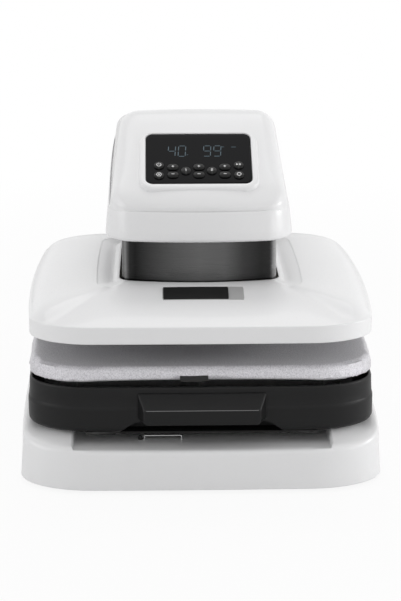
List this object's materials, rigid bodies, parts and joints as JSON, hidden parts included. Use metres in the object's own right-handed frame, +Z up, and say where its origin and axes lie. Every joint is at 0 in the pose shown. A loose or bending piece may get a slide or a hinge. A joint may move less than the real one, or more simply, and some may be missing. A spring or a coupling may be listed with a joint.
{
  "type": "flat heat press",
  "caption": "Motor-driven flat heat press with a square hot plate under a domed hood, a pull-out padded drawer and a sloping button panel.",
  "frame": {"origin": "floor level under the middle of the base", "axes": "+X to the right as seen from the front, +Y to the rear, +Z up"},
  "size_m": [0.4428, 0.5448, 0.4106],
  "materials": {
    "white_shell": "satin",
    "black_tray": "matte",
    "panel_gloss": "gloss",
    "button_plastic": "satin",
    "shroud_steel": "brushed",
    "frame_steel": "matte",
    "zinc_steel": "plated",
    "platen_alloy": "machined",
    "bronze": "machined",
    "foot_rubber": "matte",
    "silver_cloth": "woven",
    "foam": "sponge",
    "board": "lacquered",
    "chrome_wire": "polished",
    "tag_cloth": "woven",
    "insulation": "felted"
  },
  "bodies": {
    "stand": {"base_shell": "white_shell", "bottom_plate": "zinc_steel", "foot_front_left": "foot_rubber", "foot_front_right": "foot_rubber", "foot_rear_left": "foot_rubber", "foot_rear_right": "foot_rubber", "catch_staple": "chrome_wire", "slide_outer_left": "zinc_steel", "slide_outer_right": "zinc_steel", "column_housing": "white_shell", "head_shell": "white_shell", "head_cover": "white_shell", "shroud": "shroud_steel", "control_panel": "panel_gloss", "control_board": "board", "frame_plate_left": "frame_steel", "frame_plate_right": "frame_steel", "frame_bed": "frame_steel", "frame_top": "frame_steel", "gearbox": "platen_alloy", "motor": "frame_steel", "guide_bush_left": "bronze", "guide_bush_right": "bronze", "top_limit_switch": "black_tray", "power_inlet": "black_tray", "switch_bezel": "black_tray", "power_board": "board"},
    "press_head": {"hood": "white_shell", "heating_platen": "platen_alloy", "insulation_sheet": "insulation", "carrier_plate": "zinc_steel", "ram_tube": "zinc_steel", "screw_nut": "bronze", "guide_rod_left": "zinc_steel", "guide_rod_right": "zinc_steel"},
    "screw": {"lead_screw": "zinc_steel"},
    "drawer": {"drawer_tray": "black_tray", "drawer_handle": "black_tray", "lower_platen": "platen_alloy", "press_pad": "foam", "pad_cover": "silver_cloth", "cover_tag": "tag_cloth", "slide_inner_left": "zinc_steel", "slide_inner_right": "zinc_steel"},
    "slide_mids": {"slide_mid_left": "zinc_steel", "slide_mid_right": "zinc_steel"},
    "rocker": {"power_switch": "panel_gloss"},
    "button_power": {"button_power": "button_plastic"},
    "button_settings": {"button_settings": "button_plastic"},
    "button_time_up": {"button_time_up": "button_plastic"},
    "button_time_down": {"button_time_down": "button_plastic"},
    "button_preset_1": {"button_preset_1": "button_plastic"},
    "button_heat_up": {"button_heat_up": "button_plastic"},
    "button_heat_down": {"button_heat_down": "button_plastic"},
    "button_preset_2": {"button_preset_2": "button_plastic"},
    "button_force_up": {"button_force_up": "button_plastic"},
    "button_force_down": {"button_force_down": "button_plastic"},
    "button_start": {"button_start": "button_plastic"},
    "button_auto": {"button_auto": "button_plastic"}
  },
  "joints": [
    {"name": "press_slide", "type": "slide", "parent": "stand", "child": "press_head", "axis": [0, 0, -1], "range_m": [0, 0.027]},
    {"name": "screw_spin", "type": "hinge", "parent": "stand", "child": "screw", "pos_m": [0, -0.0375, 0.25], "axis": [0, 0, 1], "range_deg": [0, 2431]},
    {"name": "drawer_slide", "type": "slide", "parent": "stand", "child": "drawer", "axis": [0, -1, 0], "range_m": [0, 0.3]},
    {"name": "slide_mid_slide", "type": "slide", "parent": "stand", "child": "slide_mids", "axis": [0, -1, 0], "range_m": [0, 0.15]},
    {"name": "power_rocker", "type": "hinge", "parent": "stand", "child": "rocker", "pos_m": [0.032, 0.2633, 0.028], "axis": [0, 0, -1], "range_deg": [0, 14]},
    {"name": "press_power", "type": "slide", "parent": "stand", "child": "button_power", "axis": [0, 0.5388, -0.8425], "range_m": [0, 0.0008], "stiffness_N_per_m": 300},
    {"name": "press_settings", "type": "slide", "parent": "stand", "child": "button_settings", "axis": [0, 0.5388, -0.8425], "range_m": [0, 0.0008], "stiffness_N_per_m": 300},
    {"name": "press_time_up", "type": "slide", "parent": "stand", "child": "button_time_up", "axis": [0, 0.5388, -0.8425], "range_m": [0, 0.0008], "stiffness_N_per_m": 300},
    {"name": "press_time_down", "type": "slide", "parent": "stand", "child": "button_time_down", "axis": [0, 0.5388, -0.8425], "range_m": [0, 0.0008], "stiffness_N_per_m": 300},
    {"name": "press_preset_1", "type": "slide", "parent": "stand", "child": "button_preset_1", "axis": [0, 0.5388, -0.8425], "range_m": [0, 0.0008], "stiffness_N_per_m": 300},
    {"name": "press_heat_up", "type": "slide", "parent": "stand", "child": "button_heat_up", "axis": [0, 0.5388, -0.8425], "range_m": [0, 0.0008], "stiffness_N_per_m": 300},
    {"name": "press_heat_down", "type": "slide", "parent": "stand", "child": "button_heat_down", "axis": [0, 0.5388, -0.8425], "range_m": [0, 0.0008], "stiffness_N_per_m": 300},
    {"name": "press_preset_2", "type": "slide", "parent": "stand", "child": "button_preset_2", "axis": [0, 0.5388, -0.8425], "range_m": [0, 0.0008], "stiffness_N_per_m": 300},
    {"name": "press_force_up", "type": "slide", "parent": "stand", "child": "button_force_up", "axis": [0, 0.5388, -0.8425], "range_m": [0, 0.0008], "stiffness_N_per_m": 300},
    {"name": "press_force_down", "type": "slide", "parent": "stand", "child": "button_force_down", "axis": [0, 0.5388, -0.8425], "range_m": [0, 0.0008], "stiffness_N_per_m": 300},
    {"name": "press_start", "type": "slide", "parent": "stand", "child": "button_start", "axis": [0, 0.5388, -0.8425], "range_m": [0, 0.0008], "stiffness_N_per_m": 300},
    {"name": "press_auto", "type": "slide", "parent": "stand", "child": "button_auto", "axis": [0, 0.5388, -0.8425], "range_m": [0, 0.0008], "stiffness_N_per_m": 300}
  ],
  "couplings": [
    {"joint": "screw_spin", "follows": "press_slide", "rad_per_m": 1570.8},
    {"joint": "slide_mid_slide", "follows": "drawer_slide", "ratio": 0.5}
  ]
}
